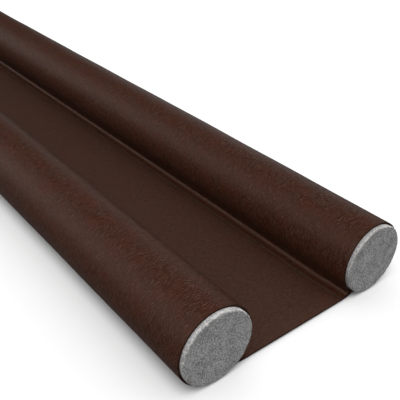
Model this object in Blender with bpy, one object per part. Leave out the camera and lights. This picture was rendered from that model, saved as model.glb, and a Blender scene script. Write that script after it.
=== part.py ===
"""Double draught excluder: one leatherette cover with a foam rod in each long edge.

The cover is a single sheet. Its two long edges are wrapped round the rods and sewn down on the sheet itself,
so that each edge is a round sleeve and the flat web between them lies on the floor.
Lengths are in metres. +X runs along the excluder, +Y from the front rod to the back rod, +Z up.
"""

import math

import bmesh
import bpy

COVER_LENGTH = 0.930
SLEEVE_RADIUS = 0.0163
SLEEVE_OFFSET = 0.0418  # from the middle line to the centre of each sleeve
WALL = 0.0010
FOAM_GAP = 0.0003
FOAM_PROUD = 0.0018  # how far a rod stands out of the cover at each end
FOAM_ROUNDING = 0.0007

# Where a sleeve lies on the floor, half the width of its flat.
REST_HALF_WIDTH = 0.0020

# The web leaves the floor at LIFT_OFF and meets the round of the sleeve at JOIN, both from the middle line.
LIFT_OFF = 0.0283
JOIN = 0.0332
RISE_POWER = 1.4

# The wall of a sleeve comes down to its foot, where the sheet turns back towards the middle.
FOOT_OFFSET = 0.0306
FOOT_HEIGHT = 0.0024

# The sewn-down edge of the sheet, from its cut edge to the fold: how far across, and how high on the web.
STRIP_EDGE = 0.0262
STRIP_PROFILE = (
    # across, height
    (0.0001, 0.0007),
    (0.0005, 0.0008),
    (0.0017, 0.0006),
    (0.0028, 0.0007),
)

# On its upper side the sheet turns from the strip into the wall in a soft fold, short of the foot.
FOLD_REACH = 0.0020
FOLD_STEPS = 4

# The cut ends of the web stand a little off the floor, and the sleeves wander a little along their length.
END_LIFT = 0.0006
END_LIFT_REACH = 0.020
END_STEPS = 4
SWAY = 0.0003
SWAY_WAVE = {1: 0.410, -1: 0.530}

CIRCLE_STEPS = 36
RISE_STEPS = 4
ROUNDING_STEPS = 3
BAY = 0.080
SHARP_ANGLE = math.radians(32.0)

CENTRE_HEIGHT = math.sqrt(SLEEVE_RADIUS**2 - REST_HALF_WIDTH**2)
BORE_RADIUS = SLEEVE_RADIUS - WALL
FOAM_RADIUS = BORE_RADIUS - FOAM_GAP


def smooth(value):
    """Goes from 0 to 1 with no slope at either end."""
    value = min(max(value, 0.0), 1.0)
    return value * value * (3.0 - 2.0 * value)


def sway(x, side):
    """How far a sleeve and its rod lie to one side at this place along the excluder: none at the +X end."""
    from_end = COVER_LENGTH / 2.0 - x
    return SWAY * math.sin(2.0 * math.pi * from_end / SWAY_WAVE[side])


def join_angle():
    return math.asin((SLEEVE_OFFSET - JOIN) / SLEEVE_RADIUS)


def foot_tangent_angle():
    """Where the wall leaves the round to run straight to the foot, as an angle from straight down."""
    across = SLEEVE_OFFSET - FOOT_OFFSET
    down = CENTRE_HEIGHT - FOOT_HEIGHT
    return math.atan2(across, down) + math.acos(SLEEVE_RADIUS / math.hypot(across, down))


def round_point(angle, radius):
    """A point of the back sleeve's round. The angle starts straight down and turns towards the middle."""
    y = SLEEVE_OFFSET - radius * math.sin(angle)
    z = CENTRE_HEIGHT - radius * math.cos(angle)
    return (y, z)


def arc(start, end, radius):
    steps = max(1, round(abs(end - start) / (2.0 * math.pi) * CIRCLE_STEPS))
    return [round_point(start + (end - start) * i / steps, radius) for i in range(steps + 1)]


def underside(y):
    """Height of the web's underside: on the floor, then up to the round of the sleeve."""
    _, join_height = round_point(join_angle(), SLEEVE_RADIUS)
    share = max(0.0, (y - LIFT_OFF) / (JOIN - LIFT_OFF))
    return join_height * share**RISE_POWER


def strip_outline():
    """The upper side of the sewn-down strip, from its cut edge to the start of the fold."""
    points = [(STRIP_EDGE, WALL)]
    for across, height in STRIP_PROFILE:
        y = STRIP_EDGE + across
        points.append((y, underside(y) + WALL + height))
    return points


def fold_outline(start):
    """The turn from the strip up into the wall: a curve that leaves towards the foot and comes in from it."""
    foot = (FOOT_OFFSET, FOOT_HEIGHT)
    wall_top = round_point(foot_tangent_angle(), SLEEVE_RADIUS)
    share = FOLD_REACH / math.dist(foot, wall_top)
    end = tuple(a + (b - a) * share for a, b in zip(foot, wall_top))
    points = []
    for i in range(1, FOLD_STEPS + 1):
        t = i / FOLD_STEPS
        weights = ((1.0 - t) ** 2, 2.0 * t * (1.0 - t), t * t)
        points.append(tuple(sum(w * v for w, v in zip(weights, place)) for place in zip(start, foot, end)))
    return points


def cover_half_outline():
    """The back half of the cover's outline, from the web's top over the sleeve to the web's underside."""
    rest_angle = math.asin(REST_HALF_WIDTH / SLEEVE_RADIUS)
    points = strip_outline()
    points += fold_outline(points[-1])
    points += arc(foot_tangent_angle(), 2.0 * math.pi - rest_angle, SLEEVE_RADIUS)
    points += arc(rest_angle, join_angle(), SLEEVE_RADIUS)
    for i in range(RISE_STEPS - 1, -1, -1):
        y = LIFT_OFF + (JOIN - LIFT_OFF) * i / RISE_STEPS
        points.append((y, underside(y)))
    return points


def bore_outline():
    """The inside of the back sleeve: round, flat where it rests, with a tail where its two plies meet."""
    tangent = foot_tangent_angle()
    rest_angle = math.acos((CENTRE_HEIGHT - WALL) / BORE_RADIUS)
    tail_tip = (
        FOOT_OFFSET + WALL * math.sin(tangent),
        FOOT_HEIGHT + WALL * math.cos(tangent),
    )
    points = arc(rest_angle, join_angle(), BORE_RADIUS)
    points.append(tail_tip)
    points += arc(tangent, 2.0 * math.pi - rest_angle, BORE_RADIUS)
    return points


def mirrored(points):
    return [(-y, z) for y, z in reversed(points)]


def rod_outline():
    """A foam rod's section about its own centre, flat where it rests in the sleeve."""
    lowest = WALL + FOAM_GAP - CENTRE_HEIGHT
    turn = 2.0 * math.pi / CIRCLE_STEPS
    ring = [(i + 0.5) * turn for i in range(CIRCLE_STEPS)]
    return [(FOAM_RADIUS * math.sin(a), max(-FOAM_RADIUS * math.cos(a), lowest)) for a in ring]


def bays(half_length):
    """Places along the excluder for the sections, evenly spaced between its two ends."""
    count = 2 * math.ceil(half_length / BAY)
    return [half_length * (2.0 * i / count - 1.0) for i in range(count + 1)]


def cover_stations():
    half = COVER_LENGTH / 2.0
    near_end = [half - END_LIFT_REACH * i / END_STEPS for i in range(END_STEPS)]
    inner = bays(half - END_LIFT_REACH)
    return sorted([-x for x in near_end] + inner + near_end)


def rod_stations():
    half = COVER_LENGTH / 2.0 + FOAM_PROUD
    turns = [math.pi / 2.0 * i / ROUNDING_STEPS for i in range(ROUNDING_STEPS)]
    rounding = [half - FOAM_ROUNDING * (1.0 - math.cos(a)) for a in turns]
    inner = bays(half - FOAM_ROUNDING)
    return sorted([-x for x in rounding] + inner + rounding)


def settle_cover(point):
    """Lifts the cut ends of the web and moves each sleeve aside by its sway."""
    x, y, z = point
    from_middle = abs(y)
    side = 1 if y > 0.0 else -1
    end_share = smooth((abs(x) - COVER_LENGTH / 2.0 + END_LIFT_REACH) / END_LIFT_REACH)
    in_web = 1.0 if from_middle <= LIFT_OFF else 1.0 - smooth((from_middle - LIFT_OFF) / (JOIN - LIFT_OFF))
    near_floor = 1.0 - smooth((z - FOOT_HEIGHT) / FOLD_REACH)
    z += END_LIFT * end_share * in_web * near_floor
    y += sway(x, side)
    return (x, y, z)


def settle_rod(point, side):
    """Rounds the rod's end edges and moves the rod with its sleeve."""
    x, y, z = point
    depth = max(0.0, COVER_LENGTH / 2.0 + FOAM_PROUD - abs(x))
    left = max(0.0, FOAM_ROUNDING - depth)
    inset = FOAM_ROUNDING - math.sqrt(FOAM_ROUNDING**2 - left**2)
    scale = 1.0 - inset / FOAM_RADIUS
    return (x, y * scale + sway(x, side), z * scale)


def leatherette():
    material = bpy.data.materials.new("leatherette")
    material.use_nodes = True
    shader = material.node_tree.nodes["Principled BSDF"]
    shader.inputs["Base Color"].default_value = (0.052, 0.026, 0.019, 1.0)
    shader.inputs["Roughness"].default_value = 0.48
    shader.inputs["Metallic"].default_value = 0.0
    material.diffuse_color = (0.052, 0.026, 0.019, 1.0)
    return material


def grey_foam():
    material = bpy.data.materials.new("grey_foam")
    material.use_nodes = True
    shader = material.node_tree.nodes["Principled BSDF"]
    shader.inputs["Base Color"].default_value = (0.18, 0.18, 0.18, 1.0)
    shader.inputs["Roughness"].default_value = 0.95
    shader.inputs["Metallic"].default_value = 0.0
    material.diffuse_color = (0.18, 0.18, 0.18, 1.0)
    return material


def extruded(name, loops, stations, settle, material):
    """A solid of one section carried along +X. The first loop is its outline, the others its holes."""
    bm = bmesh.new()
    edges = []
    for loop in loops:
        verts = [bm.verts.new((stations[0], y, z)) for y, z in loop]
        edges += [bm.edges.new((a, b)) for a, b in zip(verts, verts[1:] + verts[:1])]
    filled = bmesh.ops.triangle_fill(bm, edges=edges, use_beauty=True, use_dissolve=False)
    cap = [item for item in filled["geom"] if isinstance(item, bmesh.types.BMFace)]
    for step, x in enumerate(stations[1:]):
        grown = bmesh.ops.extrude_face_region(bm, geom=cap, use_keep_orig=True)["geom"]
        for item in grown:
            if isinstance(item, bmesh.types.BMVert):
                item.co.x = x
        if step > 0:
            bmesh.ops.delete(bm, geom=cap, context="FACES_ONLY")
        cap = [item for item in grown if isinstance(item, bmesh.types.BMFace)]
    for vert in bm.verts:
        vert.co = settle(vert.co)
    bmesh.ops.recalc_face_normals(bm, faces=bm.faces)
    mesh = bpy.data.meshes.new(name)
    bm.to_mesh(mesh)
    bm.free()
    mesh.shade_smooth()
    mesh.set_sharp_from_angle(angle=SHARP_ANGLE)
    mesh.materials.append(material)
    made = bpy.data.objects.new(name, mesh)
    bpy.context.scene.collection.objects.link(made)
    return made


def build_cover(material):
    half = cover_half_outline()
    bore = bore_outline()
    loops = [half + mirrored(half), bore, mirrored(bore)]
    return extruded("cover", loops, cover_stations(), settle_cover, material)


def build_rod(name, side, cover, material):
    rod = extruded(name, [rod_outline()], rod_stations(), lambda point: settle_rod(point, side), material)
    rod.parent = cover
    rod.location = (0.0, side * SLEEVE_OFFSET, CENTRE_HEIGHT)
    return rod


def main():
    for old in list(bpy.data.objects):
        bpy.data.objects.remove(old, do_unlink=True)
    foam = grey_foam()
    cover = build_cover(leatherette())
    build_rod("rod_front", -1, cover, foam)
    build_rod("rod_back", 1, cover, foam)


main()
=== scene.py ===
"""The looks of a double draught excluder: its leatherette cover and its two foam rods, in metres.

+X runs along the excluder, +Y from the front rod to the back rod, +Z up, and the floor is at 0.
"""

import math

import bpy
import numpy as np
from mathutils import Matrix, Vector


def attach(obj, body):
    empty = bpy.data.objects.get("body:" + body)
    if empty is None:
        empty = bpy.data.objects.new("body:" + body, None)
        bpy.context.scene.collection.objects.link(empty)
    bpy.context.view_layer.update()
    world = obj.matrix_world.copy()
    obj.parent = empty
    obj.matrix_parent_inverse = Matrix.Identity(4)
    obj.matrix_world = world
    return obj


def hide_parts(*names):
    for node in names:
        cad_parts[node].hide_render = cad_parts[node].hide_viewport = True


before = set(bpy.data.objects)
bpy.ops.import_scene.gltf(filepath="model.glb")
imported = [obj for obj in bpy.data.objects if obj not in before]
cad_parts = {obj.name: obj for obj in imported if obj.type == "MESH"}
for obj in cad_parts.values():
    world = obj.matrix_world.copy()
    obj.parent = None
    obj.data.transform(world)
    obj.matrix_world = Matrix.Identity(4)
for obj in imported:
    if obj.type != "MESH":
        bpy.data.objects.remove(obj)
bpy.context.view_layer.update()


# The cover is one sheet of soft embossed leatherette on a thin cloth back. Its two long edges are
# wrapped round the rods and fixed down on the sheet as flat strips, so that each edge is a round
# sleeve with a soft fold at its foot, and the flat web between the sleeves lies on the floor.

COVER_LENGTH = 0.930
COVER_END = COVER_LENGTH / 2.0
SHEET_THICK = 0.00075
SLEEVE_RADIUS = 0.0163
SLEEVE_OFFSET = 0.0418  # from the middle line to the centre of each sleeve
REST_HALF_WIDTH = 0.0020  # half the width of the flat on which a sleeve rests
CENTRE_HEIGHT = math.sqrt(SLEEVE_RADIUS**2 - REST_HALF_WIDTH**2)

# The web leaves the floor at LIFT_OFF and meets the round of the sleeve at JOIN, both from the middle line.
LIFT_OFF = 0.0283
JOIN = 0.0332
RISE_POWER = 1.4
JOIN_ANGLE = math.asin((SLEEVE_OFFSET - JOIN) / SLEEVE_RADIUS)
JOIN_HEIGHT = CENTRE_HEIGHT - SLEEVE_RADIUS * math.cos(JOIN_ANGLE)

# The foot is the corner between the sleeve's wall and the strip, and the fold cuts it at FOLD_REACH from it.
FOOT = np.array([0.0306, 0.0024])
FOLD_REACH = 0.0016
STRIP_EDGE = 0.0262
STRIP_CLEARANCE = 0.00006

# The soft sheet draws back a little from its cut length, further over the tops of the rods, and the cut
# ends of its web curl up. The sleeves wander sideways along their length and are stuffed unevenly.
DRAWN_BACK = 0.00005
TOP_DRAWN_BACK = 0.00022
END_LIFT = 0.0009
END_LIFT_REACH = 0.020
SWAY = 0.0003
SWAY_WAVE = {1: 0.410, -1: 0.530}
SWAY_BLEND = 0.020  # from the middle line to where the web goes all the way with its sleeve
SWELL_HEIGHT = 0.00022
SWELL_FROM = 0.0045
SWELL_RISE = 0.006
SWELL_WAVES = (
    # radians per metre along the excluder, radians per metre across the sheet, shift
    (71.0, 43.0, 0.0),
    (113.0, -89.0, 1.3),
    (37.0, 151.0, 2.1),
)

# How softly the section's corners are rounded, and how finely the section and the length are divided.
SOFTENING = 0.00040
BELL_REACH = 4.0  # how many times SOFTENING the rounding takes in on each side
PATH_STEP = 0.00005
ACROSS_STEP = 0.0034
TURN_STEP = math.radians(7.6)
NEAR_STEP = 0.0014
FAR_STEP = 0.0052
STEP_GROWTH = 0.080
LENGTH_SAMPLES = 4001
SHARP_ANGLE = math.radians(50.0)


def smooth(value):
    """Goes from 0 to 1 with no slope at either end: 3 v^2 - 2 v^3, with v held between 0 and 1."""
    value = np.clip(value, 0.0, 1.0)
    return value * value * (3.0 - 2.0 * value)


def straight(start, end):
    """Points on the line from start to end, without the end."""
    count = max(2, int(np.linalg.norm(np.subtract(end, start)) / PATH_STEP))
    share = np.arange(count)[:, None] / count
    return np.asarray(start) * (1.0 - share) + np.asarray(end) * share


def on_sleeve(angle):
    """A place on the sleeve's round. The angle starts straight down and turns towards the middle line:
    y = offset - radius sin(angle), z = height - radius cos(angle)."""
    y = SLEEVE_OFFSET - SLEEVE_RADIUS * np.sin(angle)
    z = CENTRE_HEIGHT - SLEEVE_RADIUS * np.cos(angle)
    return np.stack([y, z], axis=-1)


def sleeve_arc(start, end):
    """Points on the sleeve's round at even angles from start to end, without the end."""
    count = max(2, int(abs(end - start) * SLEEVE_RADIUS / PATH_STEP))
    return on_sleeve(start + (end - start) * np.arange(count) / count)


def underside(y):
    """Height of the web's underside: nothing up to LIFT_OFF, then a power of the share of the way to JOIN."""
    return JOIN_HEIGHT * np.clip((y - LIFT_OFF) / (JOIN - LIFT_OFF), 0.0, None) ** RISE_POWER


def foot_tangent():
    """The angle at which a straight line from the foot touches the sleeve's round on its inner side."""
    across, down = SLEEVE_OFFSET - FOOT[0], CENTRE_HEIGHT - FOOT[1]
    return math.atan2(across, down) + math.acos(SLEEVE_RADIUS / math.hypot(across, down))


def outer_side():
    """The sheet's outer side in section, from the web's middle to the back strip's cut edge: along the
    floor, up to the sleeve, round it, straight down its wall, through the fold and along the strip."""
    web = straight((0.0, 0.0), (LIFT_OFF, 0.0))
    rise_y = np.arange(LIFT_OFF, JOIN, PATH_STEP)
    rise = np.stack([rise_y, underside(rise_y)], axis=1)
    round_part = sleeve_arc(JOIN_ANGLE, foot_tangent() - 2.0 * math.pi)
    round_part[:, 1] = np.maximum(round_part[:, 1], 0.0)
    wall_top = on_sleeve(foot_tangent())
    down_wall = (FOOT - wall_top) / np.linalg.norm(FOOT - wall_top)
    fold_start = FOOT - down_wall * FOLD_REACH
    strip_y = np.arange(FOOT[0] - FOLD_REACH, STRIP_EDGE, -PATH_STEP)
    strip = np.stack([strip_y, underside(strip_y) + 2.0 * SHEET_THICK + STRIP_CLEARANCE], axis=1)
    share = np.linspace(0.0, 1.0, int(2.0 * FOLD_REACH / PATH_STEP))[:, None]
    fold = (1.0 - share) ** 2 * fold_start + 2.0 * share * (1.0 - share) * FOOT + share**2 * strip[0]
    return np.concatenate([web, rise, round_part, straight(wall_top, fold_start), fold[:-1], strip])


def softened(path):
    """The path with its corners rounded: a running average along it, weighted by a bell as wide as
    SOFTENING. Past its ends the path goes on as its own point reflection."""
    reach = int(BELL_REACH * SOFTENING / PATH_STEP)
    offset = np.arange(-reach, reach + 1) * PATH_STEP
    bell = np.exp(-0.5 * (offset / SOFTENING) ** 2)
    bell /= bell.sum()
    first = 2.0 * path[0] - path[reach:0:-1]
    last = 2.0 * path[-1] - path[-2 : -reach - 2 : -1]
    padded = np.concatenate([first, path, last])
    return np.stack([np.convolve(padded[:, i], bell, mode="valid") for i in range(2)], axis=1)


def whole_section():
    """The outer side across the whole sheet, at even steps: (distance along it, points, outward normals)."""
    back = outer_side()
    front = back[:0:-1] * (-1.0, 1.0)
    path = np.concatenate([front, back])
    distance = np.concatenate([[0.0], np.cumsum(np.linalg.norm(np.diff(path, axis=0), axis=1))])
    even = np.arange(0.0, distance[-1], PATH_STEP)
    path = softened(np.stack([np.interp(even, distance, path[:, i]) for i in range(2)], axis=1))
    along = np.gradient(path, axis=0)
    along /= np.linalg.norm(along, axis=1)[:, None]
    return even, path, np.stack([along[:, 1], -along[:, 0]], axis=1)


def section_nodes(distance, normals):
    """Places along the section, close where it turns and further apart where it is straight: equal steps
    of (length / ACROSS_STEP + turning / TURN_STEP)."""
    turning = np.arccos(np.clip((normals[1:] * normals[:-1]).sum(axis=1), -1.0, 1.0))
    measure = np.concatenate([[0.0], np.cumsum(np.diff(distance) / ACROSS_STEP + turning / TURN_STEP)])
    count = int(measure[-1]) + 1
    return np.interp(np.linspace(0.0, measure[-1], count), measure, distance)


def length_nodes():
    """Places along the excluder, NEAR_STEP apart at its ends and FAR_STEP apart in its middle."""
    half = COVER_END - DRAWN_BACK
    x = np.linspace(-half, half, LENGTH_SAMPLES)
    from_end = half - np.abs(x)
    step = NEAR_STEP + (FAR_STEP - NEAR_STEP) * smooth(from_end / STEP_GROWTH)
    measure = np.concatenate([[0.0], np.cumsum(np.diff(x) / step[1:])])
    return np.interp(np.linspace(0.0, measure[-1], int(measure[-1]) + 1), measure, x)


def sway(x, side):
    """How far a sleeve and its rod lie to one side at this place along the excluder: none at the +X end."""
    return SWAY * np.sin(2.0 * math.pi * (COVER_END - x) / SWAY_WAVE[side])


def swell(x, s):
    """Soft unevenness of the stuffed sleeves, between 0 and 1: slow waves along and across the sheet."""
    waves = sum(np.sin(x * along + s * across + shift) for along, across, shift in SWELL_WAVES)
    return 0.5 + waves / (2.0 * len(SWELL_WAVES))


def sheet_side(x, y, z, ny, nz, across, depth):
    """One side of the sheet, depth behind its outer side: the section carried along +X, drawn back at the
    ends, lifted at the web's ends, moved aside by the sway and pushed out by the swell."""
    kept = 1.0 - TOP_DRAWN_BACK * smooth(z / CENTRE_HEIGHT - 1.0) / COVER_END
    side_y = y - ny * depth
    side_z = z - nz * depth
    end_share = smooth((np.abs(x) - COVER_END + END_LIFT_REACH) / END_LIFT_REACH)
    in_web = 1.0 - smooth((np.abs(side_y) - LIFT_OFF) / (JOIN - LIFT_OFF))
    near_floor = 1.0 - smooth((side_z - FOOT[1]) / FOLD_REACH)
    lift = END_LIFT * end_share * in_web * near_floor
    to_back = smooth((side_y + SWAY_BLEND) / (2.0 * SWAY_BLEND))
    aside = sway(x, 1) * to_back + sway(x, -1) * (1.0 - to_back)
    puff = SWELL_HEIGHT * swell(x, across) * smooth((side_z - SWELL_FROM) / SWELL_RISE)
    return np.stack([x * kept, side_y + aside + ny * puff, side_z + lift + nz * puff], axis=-1)


def quads(a, b, c, d):
    """Four-cornered faces from four equal arrays of corners."""
    return np.stack([a.ravel(), b.ravel(), c.ravel(), d.ravel()], axis=1)


def sheet_mesh(name, section):
    """The sheet as a closed thin skin: its outer side, its inner side SHEET_THICK behind it along the
    section's normal, and the cut edges between them. The UV map is the flat sheet, in metres."""
    distance, path, normals = section
    nodes = section_nodes(distance, normals)
    y, z = (np.interp(nodes, distance, path[:, i])[:, None] for i in range(2))
    ny, nz = (np.interp(nodes, distance, normals[:, i])[:, None] for i in range(2))
    x = length_nodes()[None, :]
    across = nodes[:, None] - distance[-1] / 2.0
    sides = [sheet_side(x, y, z, ny, nz, across, depth) for depth in (0.0, SHEET_THICK)]
    rows, columns = sides[0].shape[:2]
    points = np.concatenate([side.reshape(-1, 3) for side in sides])
    outer = np.arange(rows * columns).reshape(rows, columns)
    inner = outer + rows * columns
    skin = [
        quads(outer[:-1, :-1], outer[:-1, 1:], outer[1:, 1:], outer[1:, :-1]),
        quads(inner[:-1, :-1], inner[1:, :-1], inner[1:, 1:], inner[:-1, 1:]),
    ]
    edges = [
        quads(outer[0, 1:], outer[0, :-1], inner[0, :-1], inner[0, 1:]),
        quads(outer[-1, :-1], outer[-1, 1:], inner[-1, 1:], inner[-1, :-1]),
        quads(outer[:-1, 0], outer[1:, 0], inner[1:, 0], inner[:-1, 0]),
        quads(outer[1:, -1], outer[:-1, -1], inner[:-1, -1], inner[1:, -1]),
    ]
    faces = np.concatenate(skin + edges)
    mesh = bpy.data.meshes.new(name)
    mesh.from_pydata(points.tolist(), [], faces.tolist())
    flat = np.stack([np.broadcast_to(x, (rows, columns)), np.broadcast_to(across, (rows, columns))], axis=-1)
    flat = np.concatenate([flat.reshape(-1, 2)] * 2)
    uv = mesh.uv_layers.new(name="flat_sheet")
    uv.data.foreach_set("uv", flat[faces.ravel()].ravel())
    on_edge = np.zeros(len(faces), np.int32)
    on_edge[sum(len(part) for part in skin) :] = 1
    mesh.polygons.foreach_set("material_index", on_edge)
    mesh.shade_smooth()
    mesh.set_sharp_from_angle(angle=SHARP_ANGLE)
    made = bpy.data.objects.new(name, mesh)
    bpy.context.scene.collection.objects.link(made)
    return made


def add_node(tree, kind, inputs=None, **settings):
    """Adds a shader node: settings are its own properties, and inputs are values or links for its sockets."""
    made = tree.nodes.new(kind)
    for key, value in settings.items():
        setattr(made, key, value)
    for key, value in (inputs or {}).items():
        if isinstance(value, bpy.types.NodeSocket):
            tree.links.new(value, made.inputs[key])
        else:
            made.inputs[key].default_value = value
    return made


def maths(tree, operation, a, b=0.0):
    """One step of arithmetic on two values."""
    return add_node(tree, "ShaderNodeMath", {0: a, 1: b}, operation=operation).outputs[0]


def weighted(tree, a, a_weight, b, b_weight):
    """The sum of two values, each times its weight."""
    return maths(tree, "ADD", maths(tree, "MULTIPLY", a, a_weight), maths(tree, "MULTIPLY", b, b_weight))


def remap(tree, value, low, high, out_low=0.0, out_high=1.0):
    """A soft step: out_low below low, out_high above high."""
    inputs = {"Value": value, 1: low, 2: high, 3: out_low, 4: out_high}
    return add_node(tree, "ShaderNodeMapRange", inputs, interpolation_type="SMOOTHSTEP").outputs[0]


def noise(tree, place, scale, detail, roughness=0.5):
    """Soft noise around one half, with detail more octaves of it."""
    inputs = {"Vector": place, "Scale": scale, "Detail": detail, "Roughness": roughness}
    return add_node(tree, "ShaderNodeTexNoise", inputs).outputs[0]


def mapped(tree, place, **inputs):
    """The place moved, turned or scaled."""
    return add_node(tree, "ShaderNodeMapping", {"Vector": place, **inputs}).outputs[0]


def split(tree, place):
    """The three parts of a place or direction."""
    return add_node(tree, "ShaderNodeSeparateXYZ", {0: place}).outputs


def blend_colours(tree, share, first, second):
    """First where share is 0 and second where it is 1."""
    made = add_node(tree, "ShaderNodeMix", {0: share}, data_type="RGBA")
    for socket, value in ((made.inputs[6], first), (made.inputs[7], second)):
        if isinstance(value, bpy.types.NodeSocket):
            tree.links.new(value, socket)
        else:
            socket.default_value = (*value, 1.0)
    return made.outputs[2]


def new_material(name):
    """A material with its node tree and its shader."""
    material = bpy.data.materials.new(name)
    material.use_nodes = True
    tree = material.node_tree
    return material, tree, tree.nodes["Principled BSDF"]


# The leatherette's finish, worked out on the flat sheet in millimetres.
MILLIMETRES = 1000.0  # in a metre
LEATHER_BROWN = (0.0488, 0.0174, 0.0086)
LEATHER_RED = (0.0556, 0.0158, 0.0071)
# The pale crest colour is painted highlight on the crease ridges and the fold, with some wear.
LEATHER_WEAR_AND_HIGHLIGHT = (0.180, 0.106, 0.078)
# The dark red hollow colour is painted shade in the crease hollows.
LEATHER_HOLLOW_SHADE = (0.0260, 0.0052, 0.0020)
# The flat web's paler, greyer tone is painted sheen: it stands in for the gloss the web shows.
WEB_PAINTED_SHEEN = (0.078, 0.050, 0.040)
WEB_PAINTED_SHEEN_SHARE = 0.30
WEB_SHEEN_TO_SLEEVE = (20.0, 34.0)  # from the middle line, where the web's painted sheen fades out into the sleeve
CREST_HIGHLIGHT_SHARE = 0.27
HOLLOW_SHADE_SHARE = 0.36
# The paler band along the fold is painted highlight, with some wear.
FOLD_HIGHLIGHT_SHARE = 0.22
FOLD_TO_EDGE = 3.3  # from the strip's cut edge to the middle of the fold
FOLD_HIGHLIGHT_FADE = (0.2, 1.3)
MOTTLE_SCALE = 0.11
MOTTLE_RANGE = (0.42, 0.62)

# Creases: two layers of short lines, pulled about by a wide and a fine noise and broken up by a third.
CREASE_LAYERS = (
    # spacing, turn, shift
    (0.96, math.radians(16.0), 31.0),
    (1.22, math.radians(-15.0), 77.0),
)
SHIFT_ACROSS = 0.7  # of the shift
WIDE_SCALE, WIDE_PULL = 0.15, 3.2
FINE_SCALE, FINE_PULL = 0.62, 1.1
CREASE_RANGE = (0.30, 0.95)
BREAK_STRETCH = (0.85, 0.36, 1.0)
BREAK_RANGE = (0.44, 0.56)

# Creases show in patches, and are calmer on the flat web, the folds and the strips.
PATCH_SCALE = 0.10
PATCH_RANGE = (0.36, 0.58)
PATCH_LEAST = 0.55
FLAT_CALM = 0.50
CALM_WEB = (24.0, 42.0)
CALM_STRIP = (4.5, 9.0)

PEBBLE_SCALE, PEBBLE_DEPTH = 1.25, 0.35
GRAIN_SCALE, GRAIN_HEIGHT = 2.6, 0.20
GRAIN_RANGE = (0.25, 0.75)
LEATHER_ROUGHNESS = (0.40, 0.52)
LEATHER_SPECULAR = 0.10
RELIEF_STRENGTH, RELIEF_DEPTH = 0.80, 0.00022  # the depth is in metres


def crease_layer(tree, place, spacing, turn, shift):
    """Short thin creases across the rods, from 0 to 1: the crests of a sine wave along the sheet whose
    phase is pulled about by a wide and a fine noise, broken up by a third noise."""
    turned = mapped(tree, place, Location=(shift, SHIFT_ACROSS * shift, 0.0), Rotation=(0.0, 0.0, turn))
    wide = noise(tree, turned, WIDE_SCALE, detail=1.0)
    fine = noise(tree, turned, FINE_SCALE, detail=1.0)
    pull = weighted(tree, wide, WIDE_PULL, fine, FINE_PULL)
    phase = maths(tree, "ADD", maths(tree, "MULTIPLY", split(tree, turned)[0], 1.0 / spacing), pull)
    wave = maths(tree, "SINE", maths(tree, "MULTIPLY", phase, math.tau))
    breaks = noise(tree, mapped(tree, turned, Scale=BREAK_STRETCH), scale=1.0, detail=1.0)
    return maths(tree, "MULTIPLY", remap(tree, wave, *CREASE_RANGE), remap(tree, breaks, *BREAK_RANGE))


def crease_strength(tree, place, across, to_edge):
    """How clearly creases show: stronger in patches, fainter on the flat web, the folds and the strips."""
    patches = remap(tree, noise(tree, place, PATCH_SCALE, detail=2.0), *PATCH_RANGE, PATCH_LEAST, 1.0)
    off_web = remap(tree, across, *CALM_WEB, FLAT_CALM, 1.0)
    off_strip = remap(tree, to_edge, *CALM_STRIP, FLAT_CALM, 1.0)
    return maths(tree, "MULTIPLY", patches, maths(tree, "MULTIPLY", off_web, off_strip))


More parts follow.
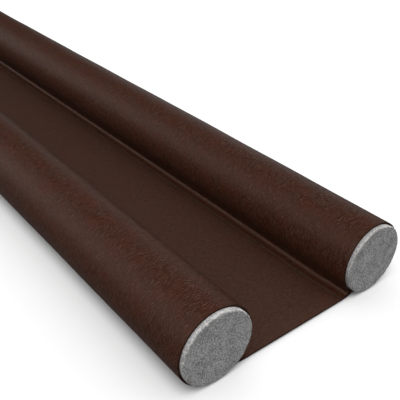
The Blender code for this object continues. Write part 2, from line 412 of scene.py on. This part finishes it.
def leatherette(half_width):
    """Dark brown leatherette: pebbled grain, short creases with pale crests and dark red hollows between,
    and a paler fold. The pale crests and fold are painted highlight with some wear, the dark hollows are
    painted shade, and the paler web is painted sheen. The pattern lies on the flat sheet, in millimetres
    along and across it."""
    material, tree, shader = new_material("leatherette")
    flat = add_node(tree, "ShaderNodeUVMap", uv_map="flat_sheet").outputs[0]
    place = mapped(tree, flat, Scale=(MILLIMETRES, MILLIMETRES, 1.0))
    across = maths(tree, "ABSOLUTE", split(tree, place)[1])
    to_edge = maths(tree, "SUBTRACT", MILLIMETRES * half_width, across)
    strength = crease_strength(tree, place, across, to_edge)
    layers = maths(tree, "MAXIMUM", *(crease_layer(tree, place, *layer) for layer in CREASE_LAYERS))
    crest = maths(tree, "MULTIPLY", layers, strength)
    valley = maths(tree, "MULTIPLY", maths(tree, "SUBTRACT", 1.0, layers), strength)
    mottle = remap(tree, noise(tree, place, MOTTLE_SCALE, detail=3.0, roughness=0.6), *MOTTLE_RANGE)
    mottled = blend_colours(tree, mottle, LEATHER_BROWN, LEATHER_RED)
    # Painted sheen on the flat web: its base colour is blended towards a paler grey.
    in_web = remap(tree, across, *WEB_SHEEN_TO_SLEEVE, WEB_PAINTED_SHEEN_SHARE, 0.0)
    base = blend_colours(tree, in_web, mottled, WEB_PAINTED_SHEEN)
    # Painted shade in the crease hollows, then painted highlight, with some wear, on the crests.
    darker = blend_colours(tree, maths(tree, "MULTIPLY", valley, HOLLOW_SHADE_SHARE), base, LEATHER_HOLLOW_SHADE)
    paler = blend_colours(tree, maths(tree, "MULTIPLY", crest, CREST_HIGHLIGHT_SHARE), darker, LEATHER_WEAR_AND_HIGHLIGHT)
    # Painted highlight, with some wear, in a band along the fold.
    off_fold = maths(tree, "ABSOLUTE", maths(tree, "SUBTRACT", to_edge, FOLD_TO_EDGE))
    folded = blend_colours(tree, remap(tree, off_fold, *FOLD_HIGHLIGHT_FADE, FOLD_HIGHLIGHT_SHARE, 0.0), paler, LEATHER_WEAR_AND_HIGHLIGHT)
    tree.links.new(folded, shader.inputs["Base Color"])
    grain = noise(tree, place, GRAIN_SCALE, detail=3.0)
    tree.links.new(remap(tree, grain, *GRAIN_RANGE, *LEATHER_ROUGHNESS), shader.inputs["Roughness"])
    shader.inputs["Specular IOR Level"].default_value = LEATHER_SPECULAR
    pebble_inputs = {"Vector": place, "Scale": PEBBLE_SCALE}
    pebbles = add_node(tree, "ShaderNodeTexVoronoi", pebble_inputs, feature="SMOOTH_F1").outputs[0]
    height = maths(tree, "ADD", crest, weighted(tree, grain, GRAIN_HEIGHT, pebbles, -PEBBLE_DEPTH))
    relief_inputs = {"Strength": RELIEF_STRENGTH, "Distance": RELIEF_DEPTH, "Height": height}
    relief = add_node(tree, "ShaderNodeBump", relief_inputs)
    tree.links.new(relief.outputs[0], shader.inputs["Normal"])
    return material


# The cut edges: darker at the ends of the sheet, and paler along the strips.
END_EDGE_DARK, END_EDGE_LIGHT = (0.020, 0.0085, 0.0050), (0.038, 0.018, 0.012)
STRIP_EDGE_DARK, STRIP_EDGE_LIGHT = (0.056, 0.031, 0.022), (0.096, 0.057, 0.042)
STRIP_EDGE_BAND = (0.0010, 0.0002)  # in from the sheet's sides, where one colour turns into the other
FIBRE_SCALE = 2600.0
FIBRE_RANGE = (0.35, 0.65)


def cut_edge(half_width):
    """The sheet's cut edge: dull brown plastic over cloth fibres. Along the strips, at the two sides of the
    flat sheet, it is paler than at the ends."""
    material, tree, shader = new_material("cut_edge")
    flat = add_node(tree, "ShaderNodeUVMap", uv_map="flat_sheet").outputs[0]
    across = maths(tree, "ABSOLUTE", split(tree, flat)[1])
    place = add_node(tree, "ShaderNodeTexCoord").outputs["Object"]
    fibres = remap(tree, noise(tree, place, FIBRE_SCALE, detail=2.0), *FIBRE_RANGE)
    at_end = blend_colours(tree, fibres, END_EDGE_DARK, END_EDGE_LIGHT)
    at_strip = blend_colours(tree, fibres, STRIP_EDGE_DARK, STRIP_EDGE_LIGHT)
    on_strip = remap(tree, across, *(half_width - inset for inset in STRIP_EDGE_BAND))
    tree.links.new(blend_colours(tree, on_strip, at_end, at_strip), shader.inputs["Base Color"])
    shader.inputs["Roughness"].default_value = 0.85
    shader.inputs["Specular IOR Level"].default_value = 0.10
    return material


cover_section = whole_section()
sheet_half_width = cover_section[0][-1] / 2.0
cover_sheet = sheet_mesh("cover_sheet", cover_section)
cover_sheet.data.materials.append(leatherette(sheet_half_width))
cover_sheet.data.materials.append(cut_edge(sheet_half_width))
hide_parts("cover")
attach(cover_sheet, "root")


# The rods are lengths of soft grey foam tube filling the sleeves. They are cut square with a blade and
# stand a little out of the cover at each end, so their rims are slightly rounded and rough.

FOAM_RADIUS = 0.01550
FOAM_PROUD = 0.0018
FOAM_ROUNDING = 0.0007
FOAM_LOWEST = SHEET_THICK + STRIP_CLEARANCE

# Rings from the middle of a cut face, over its rim, through the part that shows, and along the body.
ROD_TURNS = 180
FACE_RINGS = 40
ROUNDING_RINGS = 6
SHOWN_RINGS = np.linspace(0.0011, 0.0031, 5)  # behind the cut face
BODY_START = 0.005
BODY_RINGS = 24

# The rim is wavy as far as it shows, and the cut face is rough: each has a fine noise and a coarser one.
WAVE_HEIGHT = 0.00016
WAVE_CELLS, WAVE_SECOND = (0.0011, 0.0042), 0.6
WAVE_REACH, WAVE_FADE = 0.0026, 0.0020
ROUGH_HEIGHT = 0.00006
ROUGH_CELLS, ROUGH_SECOND = (0.0007, 0.0016), 0.7
ROD_SEEDS = {1: 11, -1: 23}
LATTICE = 256


def lattice_noise(a, b, cell, seed):
    """Smooth noise between -1 and 1: random values on a square lattice, blended between its corners."""
    values = np.random.default_rng(seed).uniform(-1.0, 1.0, (LATTICE, LATTICE))
    a, b = a / cell, b / cell
    i, j = np.floor(a).astype(int), np.floor(b).astype(int)
    u, v = smooth(a - i), smooth(b - j)
    corners = [values[(i + di) % LATTICE, (j + dj) % LATTICE] for di in (0, 1) for dj in (0, 1)]
    low = corners[0] * (1.0 - v) + corners[1] * v
    high = corners[2] * (1.0 - v) + corners[3] * v
    return low * (1.0 - u) + high * u


def two_noises(a, b, cells, second_share, seed):
    """The noise of the first cell size plus a share of that of the second."""
    return lattice_noise(a, b, cells[0], seed) + second_share * lattice_noise(a, b, cells[1], seed + 1)


def rod_rings(half):
    """Radius and place of every ring from one end to the other: the radius grows over the cut face, turns
    over the rim in a quarter round, keeps along the rod, and goes back the same way."""
    face_radius = (FOAM_RADIUS - FOAM_ROUNDING) * np.arange(1, FACE_RINGS + 1) / FACE_RINGS
    turn = 0.5 * math.pi * np.arange(1, ROUNDING_RINGS + 1) / ROUNDING_RINGS
    rim_radius = FOAM_RADIUS - FOAM_ROUNDING * (1.0 - np.sin(turn))
    rim_x = half - FOAM_ROUNDING * (1.0 - np.cos(turn))
    body_x = np.concatenate([half - SHOWN_RINGS, np.linspace(half - BODY_START, 0.0, BODY_RINGS)])
    radius = np.concatenate([face_radius, rim_radius, np.full(body_x.shape, FOAM_RADIUS)])
    x = np.concatenate([np.full(FACE_RINGS, half), rim_x, body_x])
    radius = np.concatenate([radius, radius[-2::-1]])[:, None]
    return radius, np.concatenate([x, -x[-2::-1]])[:, None]


def rod_mesh(name, side):
    """A rod as rings round its centre line, closed at a pole in each cut face. The cut faces are rough, the
    rims wavy, and the underside is flat. The skin attribute goes from 0 on a cut face to 1 over its rim."""
    half = COVER_END + FOAM_PROUD
    seed = ROD_SEEDS[side]
    radius, x = rod_rings(half)
    angle = 2.0 * math.pi * (np.arange(ROD_TURNS) + 0.5)[None, :] / ROD_TURNS
    near_end = smooth((np.abs(x) - half + WAVE_REACH) / WAVE_FADE)
    wave = two_noises(angle * FOAM_RADIUS, x, WAVE_CELLS, WAVE_SECOND, seed)
    reach = radius + WAVE_HEIGHT * near_end * wave * radius / FOAM_RADIUS
    y = reach * np.sin(angle)
    z = np.maximum(-reach * np.cos(angle), FOAM_LOWEST - CENTRE_HEIGHT)
    on_face = smooth((np.abs(x) - half + FOAM_ROUNDING) / FOAM_ROUNDING)
    end = np.where(x > 0.0, 1.0, -1.0)
    rough = two_noises(y + end, z, ROUGH_CELLS, ROUGH_SECOND, seed + 2)
    place_x = x + end * on_face * ROUGH_HEIGHT * rough
    place_y = y + side * SLEEVE_OFFSET + sway(x, side)
    points = np.stack([place_x, place_y, z + CENTRE_HEIGHT], axis=-1)
    rings = len(points)
    poles = [[end_x, side * SLEEVE_OFFSET + sway(end_x, side), CENTRE_HEIGHT] for end_x in (half, -half)]
    points = np.concatenate([points.reshape(-1, 3), poles])
    index = np.arange(rings * ROD_TURNS).reshape(rings, ROD_TURNS)
    index = np.concatenate([index, index[:, :1]], axis=1)
    body = quads(index[:-1, :-1], index[1:, :-1], index[1:, 1:], index[:-1, 1:])
    near_pole = np.full(ROD_TURNS, rings * ROD_TURNS)
    near_fan = np.stack([near_pole, index[0, :-1], index[0, 1:]], axis=1)
    far_fan = np.stack([near_pole + 1, index[-1, 1:], index[-1, :-1]], axis=1)
    mesh = bpy.data.meshes.new(name)
    mesh.from_pydata(points.tolist(), [], body.tolist() + near_fan.tolist() + far_fan.tolist())
    over_rim = np.clip((radius - radius[FACE_RINGS - 1]) / FOAM_ROUNDING, 0.0, 1.0)
    over_rim = np.broadcast_to(over_rim, (rings, ROD_TURNS)).ravel()
    skin = mesh.attributes.new("skin", "FLOAT", "POINT")
    skin.data.foreach_set("value", np.concatenate([over_rim, [0.0, 0.0]]))
    mesh.shade_smooth()
    made = bpy.data.objects.new(name, mesh)
    bpy.context.scene.collection.objects.link(made)
    return made


FOAM_DARK = (0.145, 0.145, 0.145)
FOAM_LIGHT = (0.382, 0.382, 0.379)
# The skin's paler colours are partly the tube's own skin and partly painted light on the lit rim.
LIT_SKIN_DARK = (0.30, 0.293, 0.288)
LIT_SKIN_LIGHT = (0.60, 0.586, 0.576)
SPECK_SCALE, SPECK_SHARE = 1650.0, 0.80
CLOUD_SCALE, CLOUD_SHARE = 180.0, 0.20
FOAM_RANGE = (0.39, 0.61)
CELL_SCALE, CELL_DEPTH = 1300.0, 0.6
RAGGED_SCALE, RAGGED_SHARE = 900.0, 1.6
SKIN_BORDER = (1.30, 1.70)


def grey_foam():
    """Grey foam: small cells, some open and dark, with paler walls between them. Past a ragged border on
    the rim, where the mesh's skin attribute grows, comes the tube's skin: paler partly by its own colour and
    partly as painted light on the lit rim."""
    material, tree, shader = new_material("grey_foam")
    place = add_node(tree, "ShaderNodeTexCoord").outputs["Object"]
    specks = noise(tree, place, SPECK_SCALE, detail=3.0, roughness=0.70)
    clouds = noise(tree, place, CLOUD_SCALE, detail=2.0)
    light = remap(tree, weighted(tree, specks, SPECK_SHARE, clouds, CLOUD_SHARE), *FOAM_RANGE)
    skin = add_node(tree, "ShaderNodeAttribute", attribute_name="skin").outputs["Fac"]
    ragged = noise(tree, place, RAGGED_SCALE, detail=2.0)
    over_border = maths(tree, "ADD", skin, maths(tree, "MULTIPLY", ragged, RAGGED_SHARE))
    on_skin = remap(tree, over_border, *SKIN_BORDER)
    face_colour = blend_colours(tree, light, FOAM_DARK, FOAM_LIGHT)
    # Partly painted light: the rim's skin takes a paler copy of the foam colours.
    lit_skin_colour = blend_colours(tree, light, LIT_SKIN_DARK, LIT_SKIN_LIGHT)
    tree.links.new(blend_colours(tree, on_skin, face_colour, lit_skin_colour), shader.inputs["Base Color"])
    shader.inputs["Roughness"].default_value = 0.95
    shader.inputs["Specular IOR Level"].default_value = 0.10
    cells = add_node(tree, "ShaderNodeTexVoronoi", {"Vector": place, "Scale": CELL_SCALE}).outputs[0]
    height = maths(tree, "ADD", specks, maths(tree, "MULTIPLY", cells, CELL_DEPTH))
    relief = add_node(tree, "ShaderNodeBump", {"Strength": 0.6, "Distance": 0.0003, "Height": height})
    tree.links.new(relief.outputs[0], shader.inputs["Normal"])
    return material


foam = grey_foam()
for node_name, side in (("rod_front", -1), ("rod_back", 1)):
    rod = rod_mesh("foam_" + node_name, side)
    rod.data.materials.append(foam)
    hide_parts(node_name)
    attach(rod, "root")


# The studio: a wide white floor under a soft white sky, brighter on the back rod's side, and a broad lamp
# from above on the camera's side that only the floor takes. The floor shows soft shadows but throws no
# light up at the piece, and shiny surfaces see a dim sky of their own with two bright patches.

FLOOR_HALF = 4.0
FLOOR_COLOUR = (0.565, 0.565, 0.565, 1.0)
LAMP_STRENGTH = 2.30
LAMP_SPREAD = math.radians(34.0)
LAMP_TOWARDS = (0.255, -0.275, 0.927)

floor_mesh = bpy.data.meshes.new("floor")
floor_corners = [(x * FLOOR_HALF, y * FLOOR_HALF, 0.0) for x, y in ((-1, -1), (1, -1), (1, 1), (-1, 1))]
floor_mesh.from_pydata(floor_corners, [], [(0, 1, 2, 3)])
floor = bpy.data.objects.new("floor", floor_mesh)
bpy.context.scene.collection.objects.link(floor)
floor_material, _, floor_shader = new_material("white_floor")
floor_shader.inputs["Base Color"].default_value = FLOOR_COLOUR
floor_shader.inputs["Roughness"].default_value = 0.9
floor_shader.inputs["Specular IOR Level"].default_value = 0.0
floor_mesh.materials.append(floor_material)
floor.visible_diffuse = False
floor.visible_glossy = False

lamp_data = bpy.data.lights.new("lamp", "SUN")
lamp_data.energy = LAMP_STRENGTH
lamp_data.angle = LAMP_SPREAD
lamp = bpy.data.objects.new("lamp", lamp_data)
lamp.rotation_euler = Vector(LAMP_TOWARDS).to_track_quat("Z", "Y").to_euler()
bpy.context.scene.collection.objects.link(lamp)
lit_floor = bpy.data.collections.new("lit_floor")
lit_floor.objects.link(floor)
lamp.light_linking.receiver_collection = lit_floor

# The sky that lights dull surfaces: even but for the lean to the back, and nearly dark below the horizon.
# To the camera it is plain white.
SKY_STRENGTH = 1.24
SKY_TO_BACK = 0.29
SKY_BELOW = 0.055
HORIZON = (-0.02, 0.02)

# The sky that shiny surfaces see: a dim tone all over, two bright patches, a soft glow on the near end's
# side, and a little light from below in place of the floor. Each range is of a part of the direction.
GLOSS_SKY = 0.012
FRONT_PATCH = 2.8
FRONT_TOWARDS = (-0.66, -0.60, 0.45)
FRONT_RANGE = (0.84, 1.0)
BACK_PATCH = 0.62
BACK_TOWARDS = (-0.66, 0.742, 0.111)
BACK_RANGE = (0.90, 0.97)
GLOSS_AROUND = 0.075
AROUND_ALONG, AROUND_UP = (-0.45, 0.25), (-0.1, 0.5)
GLOSS_BELOW = 0.15
BELOW_RANGE = (-0.40, 0.0)
BELOW_ACROSS, BELOW_AT_BACK = (-0.1, 0.3), 0.3

sky = bpy.data.worlds.new("sky")
sky.use_nodes = True
sky_tree = sky.node_tree
towards = add_node(sky_tree, "ShaderNodeTexCoord").outputs["Generated"]
along_x, across_y, up_z = split(sky_tree, towards)


def facing(centre):
    """How squarely a direction of the sky looks at this centre: their dot product."""
    inputs = {0: towards, 1: centre}
    return add_node(sky_tree, "ShaderNodeVectorMath", inputs, operation="DOT_PRODUCT").outputs["Value"]


def choose(test, otherwise, where_so):
    """One light where the test is 1, and the other where it is 0."""
    inputs = {0: test, 2: otherwise, 3: where_so}
    return add_node(sky_tree, "ShaderNodeMix", inputs, data_type="FLOAT").outputs[0]


leaning = maths(sky_tree, "ADD", facing((0.0, SKY_TO_BACK, 0.0)), 1.0)
above = maths(sky_tree, "MULTIPLY", leaning, remap(sky_tree, up_z, *HORIZON))
sky_light = maths(sky_tree, "ADD", above, SKY_BELOW)
gloss_light = remap(sky_tree, facing(FRONT_TOWARDS), *FRONT_RANGE, GLOSS_SKY, GLOSS_SKY + FRONT_PATCH)
back_light = remap(sky_tree, facing(BACK_TOWARDS), *BACK_RANGE, 0.0, BACK_PATCH)
around_up = remap(sky_tree, up_z, *AROUND_UP, 0.0, GLOSS_AROUND)
around_light = maths(sky_tree, "MULTIPLY", remap(sky_tree, along_x, *AROUND_ALONG), around_up)
below_across = remap(sky_tree, across_y, *BELOW_ACROSS, 1.0, BELOW_AT_BACK)
below_light = maths(sky_tree, "MULTIPLY", remap(sky_tree, up_z, *BELOW_RANGE, GLOSS_BELOW, 0.0), below_across)
for more_light in (back_light, around_light, below_light):
    gloss_light = maths(sky_tree, "ADD", gloss_light, more_light)
ray = add_node(sky_tree, "ShaderNodeLightPath").outputs
shown = choose(ray["Is Camera Ray"], choose(ray["Is Glossy Ray"], sky_light, gloss_light), 1.0)
background = sky_tree.nodes["Background"].inputs
sky_tree.links.new(maths(sky_tree, "MULTIPLY", shown, SKY_STRENGTH), background["Strength"])
background["Color"].default_value = (1.0, 1.0, 1.0, 1.0)
sky.cycles.sampling_method = "NONE"  # so that dull and shiny surfaces each find their own sky
bpy.context.scene.world = sky
bpy.context.scene.view_settings.view_transform = "Standard"

# The camera looks along the excluder from above its near end.
SENSOR_WIDTH = 36.0
CAMERA_LENS = 56.08
CAMERA_PLACE = (0.5822, -0.1450, 0.1716)
CAMERA_RIGHT = np.array([0.6196, 0.7847, 0.0188])
CAMERA_BACK = np.array([0.6614, -0.5349, 0.5258])

camera_data = bpy.data.cameras.new("camera")
camera_data.sensor_width = SENSOR_WIDTH
camera_data.lens = CAMERA_LENS
camera_data.clip_start = 0.01
camera = bpy.data.objects.new("camera", camera_data)
bpy.context.scene.collection.objects.link(camera)
to_right = CAMERA_RIGHT / np.linalg.norm(CAMERA_RIGHT)
to_back = CAMERA_BACK - to_right * (CAMERA_BACK @ to_right)
to_back /= np.linalg.norm(to_back)
placing = np.eye(4)
placing[:3, :3] = np.stack([to_right, np.cross(to_back, to_right), to_back], axis=1)
placing[:3, 3] = CAMERA_PLACE
camera.matrix_world = placing.T.tolist()
bpy.context.scene.camera = camera
